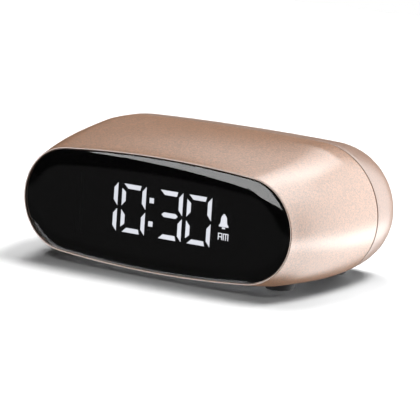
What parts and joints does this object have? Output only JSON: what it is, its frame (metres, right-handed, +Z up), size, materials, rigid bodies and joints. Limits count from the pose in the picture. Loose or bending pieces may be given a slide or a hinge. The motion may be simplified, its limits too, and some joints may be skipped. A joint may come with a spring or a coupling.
{
  "type": "alarm clock",
  "caption": "Small pebble-shaped bedside alarm clock: bowed oval smoked lens over a lit digital display, satin gold shell, rear keys and a clip-in battery door.",
  "frame": {"origin": "bottom centre of the whole clock's box: the plane of the four feet, midway across and midway in depth", "axes": "+X along the long side, to the right as seen from the front; the display faces -Y; +Z up"},
  "size_m": [0.0998, 0.0546, 0.0384],
  "materials": {
    "gold_shell": "satin champagne-gold metallic paint with a fine even grain",
    "gold_rear": "satin champagne-gold metallic paint, a little pinker than the shell",
    "smoked_lens": "polished, smoked, hard-coated",
    "black_plastic": "moulded satin",
    "white_plastic": "moulded matte",
    "clear_acrylic": "clear, polished, dot pattern on its back",
    "lcd_glass": "dark negative liquid-crystal glass",
    "circuit_board": "green solder mask",
    "steel": "plated",
    "copper_foil": "bare copper",
    "rubber": "soft matte",
    "cell_wrap": "plain printed wrap",
    "foam_tape": "foam",
    "red_wire": "insulated",
    "ribbon": "flat insulated"
  },
  "bodies": {
    "case": {"front_lens": "smoked_lens", "lens_tape": "foam_tape", "main_shell": "gold_shell", "rear_cover": "gold_rear", "battery_tray": "black_plastic", "aaa_cell_1": "cell_wrap", "aaa_cell_2": "cell_wrap", "battery_spring_1": "steel", "battery_spring_2": "steel", "contact_plate_1": "steel", "contact_plate_2": "steel", "battery_wire_red": "red_wire", "battery_wire_black": "black_plastic", "display_frame": "black_plastic", "lcd_panel": "lcd_glass", "light_guide": "clear_acrylic", "reflector_sheet": "white_plastic", "backlight_led_left": "white_plastic", "backlight_led_right": "white_plastic", "zebra_strip": "rubber", "main_pcb": "circuit_board", "board_screw_1": "steel", "board_screw_2": "steel", "board_screw_3": "steel", "board_screw_4": "steel", "driver_chip": "black_plastic", "quartz_crystal": "steel", "capacitor": "black_plastic", "ribbon_cable": "ribbon", "key_pcb": "circuit_board", "key_board_screw_1": "steel", "key_board_screw_2": "steel", "time_switch": "black_plastic", "alarm_switch": "black_plastic", "minus_switch": "black_plastic", "plus_switch": "black_plastic", "slide_switch": "steel", "buzzer": "black_plastic", "touch_plate": "copper_foil", "touch_wire": "copper_foil", "case_screw_left": "steel", "case_screw_right": "steel", "foot_front_left": "rubber", "foot_front_right": "rubber", "foot_rear_left": "rubber", "foot_rear_right": "rubber"},
    "time_key": {"time_key": "gold_rear", "time_plunger": "white_plastic"},
    "alarm_key": {"alarm_key": "gold_rear", "alarm_plunger": "white_plastic"},
    "minus_key": {"minus_key": "gold_rear", "minus_plunger": "white_plastic"},
    "plus_key": {"plus_key": "gold_rear", "plus_plunger": "white_plastic"},
    "alarm_slider": {"alarm_slider": "black_plastic", "switch_lever": "black_plastic"},
    "battery_door": {"battery_door": "gold_shell"}
  },
  "joints": [
    {"name": "time_key_press", "type": "slide", "parent": "case", "child": "time_key", "axis": [0, -1, 0], "range_m": [0, 0.0005], "stiffness_N_per_m": 600, "springref_m": -0.0006},
    {"name": "alarm_key_press", "type": "slide", "parent": "case", "child": "alarm_key", "axis": [0, -1, 0], "range_m": [0, 0.0005], "stiffness_N_per_m": 600, "springref_m": -0.0006},
    {"name": "minus_key_press", "type": "slide", "parent": "case", "child": "minus_key", "axis": [0, -1, 0], "range_m": [0, 0.0005], "stiffness_N_per_m": 600, "springref_m": -0.0006},
    {"name": "plus_key_press", "type": "slide", "parent": "case", "child": "plus_key", "axis": [0, -1, 0], "range_m": [0, 0.0005], "stiffness_N_per_m": 600, "springref_m": -0.0006},
    {"name": "alarm_slide", "type": "slide", "parent": "case", "child": "alarm_slider", "axis": [1, 0, 0], "range_m": [0, 0.0024]},
    {"name": "battery_door_lift", "type": "slide", "parent": "case", "child": "battery_door", "axis": [0, 0, -1], "range_m": [0, 0.015]}
  ]
}
